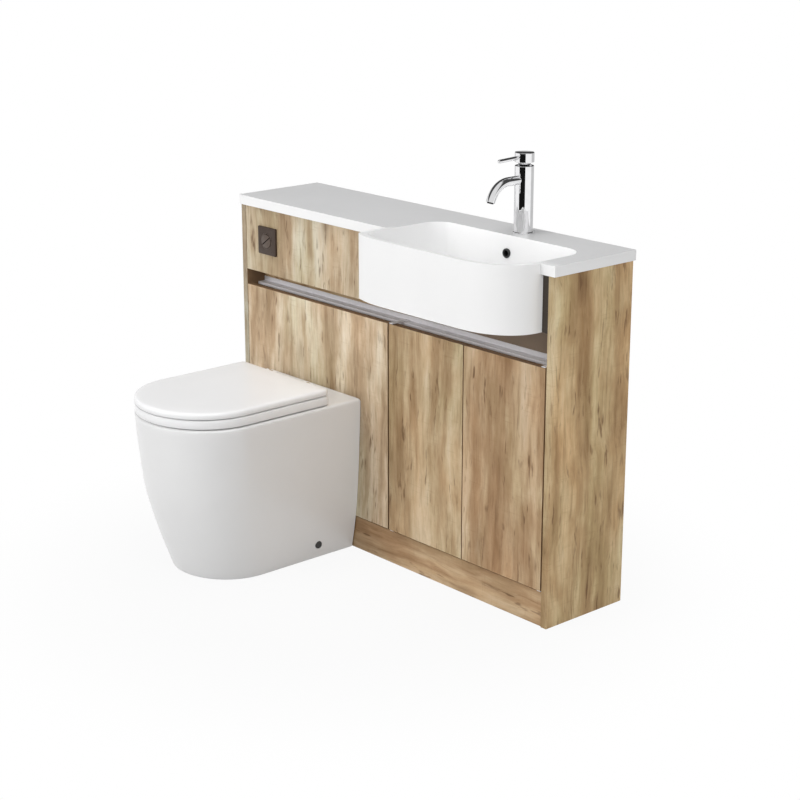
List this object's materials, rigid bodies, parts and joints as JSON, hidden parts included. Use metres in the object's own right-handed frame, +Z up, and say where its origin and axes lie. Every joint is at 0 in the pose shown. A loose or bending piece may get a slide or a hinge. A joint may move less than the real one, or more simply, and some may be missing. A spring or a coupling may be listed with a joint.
{
  "type": "toilet and basin combination unit",
  "caption": "Oak-look cabinet with a white cast basin and mixer tap on the right and a back-to-wall toilet with a soft-edged seat on the left.",
  "frame": {"origin": "centre of the whole unit's bounding box, at floor level", "axes": "+X along the front to the right, +Y back to the wall, +Z up"},
  "size_m": [1.168, 0.784, 1.069],
  "materials": {
    "oak_front": "satin",
    "oak_carcass": "satin",
    "dark_board": "matte",
    "ledge_aluminium": "satin",
    "cast_white": "gloss",
    "glazed_white": "gloss",
    "seat_white": "gloss",
    "buffer_rubber": "matte",
    "tap_chrome": "polished",
    "tap_brass": "satin",
    "tap_parts": "matte",
    "zinc_steel": "satin",
    "dark_nylon": "matte",
    "white_plastic": "satin",
    "valve_blue": "satin",
    "seal_red": "matte",
    "plate_gunmetal": "satin"
  },
  "bodies": {
    "unit": {"wc_lower_panel": "oak_front", "wc_upper_panel": "oak_front", "end_panel_left": "oak_carcass", "end_panel_right": "oak_carcass", "divider_panel": "oak_carcass", "vanity_floor": "oak_carcass", "vanity_shelf": "oak_carcass", "plinth": "oak_carcass", "wc_front_rail": "oak_carcass", "wc_wall_rail": "oak_carcass", "vanity_wall_rail": "oak_carcass", "vanity_front_rail": "dark_board", "gap_strip": "dark_board", "handle_rail": "ledge_aluminium", "worktop_basin": "cast_white", "pan": "glazed_white", "pan_bowl": "glazed_white", "flush_cone": "buffer_rubber", "tap_body": "tap_chrome", "waste_body": "tap_chrome", "hinge_posts": "tap_chrome", "tap_shank": "tap_brass", "tap_backnut": "tap_brass", "tap_aerator": "tap_parts", "tap_cartridge": "tap_parts", "overflow_ring": "tap_parts", "pan_screw_caps": "tap_parts", "shelf_pins": "zinc_steel", "door_pivot_brackets": "zinc_steel", "hinge_fixings": "zinc_steel", "pan_screws": "zinc_steel", "pan_brackets": "dark_nylon", "waste_nut": "white_plastic", "trap_inlet_pipe": "white_plastic", "trap_bottle": "white_plastic", "trap_outlet_pipe": "white_plastic", "pan_connector": "white_plastic", "flush_pipe": "white_plastic", "flush_pipe_nut": "white_plastic", "cistern_tank": "white_plastic", "cistern_cover": "white_plastic", "fill_valve": "white_plastic", "flush_valve": "valve_blue", "flush_plate": "plate_gunmetal"},
    "seat_ring": {"seat": "seat_white", "seat_buffers": "buffer_rubber"},
    "lid_cover": {"lid": "seat_white", "lid_buffers": "buffer_rubber"},
    "left_door": {"door_left": "oak_front", "door_left_bushes": "dark_nylon"},
    "right_door": {"door_right": "oak_front", "door_right_bushes": "dark_nylon"},
    "tap_turning_dome": {"tap_dome": "tap_chrome"},
    "tap_lever_cap": {"tap_cap": "tap_chrome", "tap_lever": "tap_chrome"},
    "basin_plug": {"waste_plug": "tap_chrome"},
    "full_flush_button": {"button_full": "plate_gunmetal"},
    "half_flush_button": {"button_half": "plate_gunmetal"},
    "flush_valve_seal": {"flush_seal": "seal_red"},
    "fill_valve_float": {"fill_float": "valve_blue"}
  },
  "joints": [
    {"name": "seat_hinge", "type": "hinge", "parent": "unit", "child": "seat_ring", "pos_m": [-0.28, 0.048, 0.441], "axis": [-1, 0, 0], "range_deg": [0, 95]},
    {"name": "lid_hinge", "type": "hinge", "parent": "seat_ring", "child": "lid_cover", "pos_m": [-0.28, 0.048, 0.441], "axis": [1, 0, 0], "range_deg": [-95, 0]},
    {"name": "left_door_pivot", "type": "hinge", "parent": "unit", "child": "left_door", "pos_m": [0.022, 0.139, 0.3615], "axis": [0, 0, -1], "range_deg": [0, 95]},
    {"name": "right_door_pivot", "type": "hinge", "parent": "unit", "child": "right_door", "pos_m": [0.5465, 0.139, 0.3615], "axis": [0, 0, 1], "range_deg": [0, 95]},
    {"name": "tap_turn", "type": "hinge", "parent": "unit", "child": "tap_turning_dome", "pos_m": [0.274, 0.335, 1.049], "axis": [0, 0, 1], "range_deg": [-45, 45]},
    {"name": "tap_lift", "type": "hinge", "parent": "tap_turning_dome", "child": "tap_lever_cap", "pos_m": [0.274, 0.335, 1.049], "axis": [-1, 0, 0], "range_deg": [0, 20]},
    {"name": "plug_rise", "type": "slide", "parent": "unit", "child": "basin_plug", "axis": [0, 0, 1], "range_m": [0, 0.008]},
    {"name": "full_flush_press", "type": "slide", "parent": "unit", "child": "full_flush_button", "axis": [0, 1, 0], "range_m": [0, 0.006], "stiffness_N_per_m": 200},
    {"name": "half_flush_press", "type": "slide", "parent": "unit", "child": "half_flush_button", "axis": [0, 1, 0], "range_m": [0, 0.006], "stiffness_N_per_m": 200},
    {"name": "flush_seal_lift", "type": "slide", "parent": "unit", "child": "flush_valve_seal", "axis": [0, 0, 1], "range_m": [0, 0.024]},
    {"name": "float_rise", "type": "slide", "parent": "unit", "child": "fill_valve_float", "axis": [0, 0, 1], "range_m": [0, 0.012]}
  ],
  "couplings": [
    {"joint": "flush_seal_lift", "follows": "full_flush_press", "ratio": 4}
  ]
}
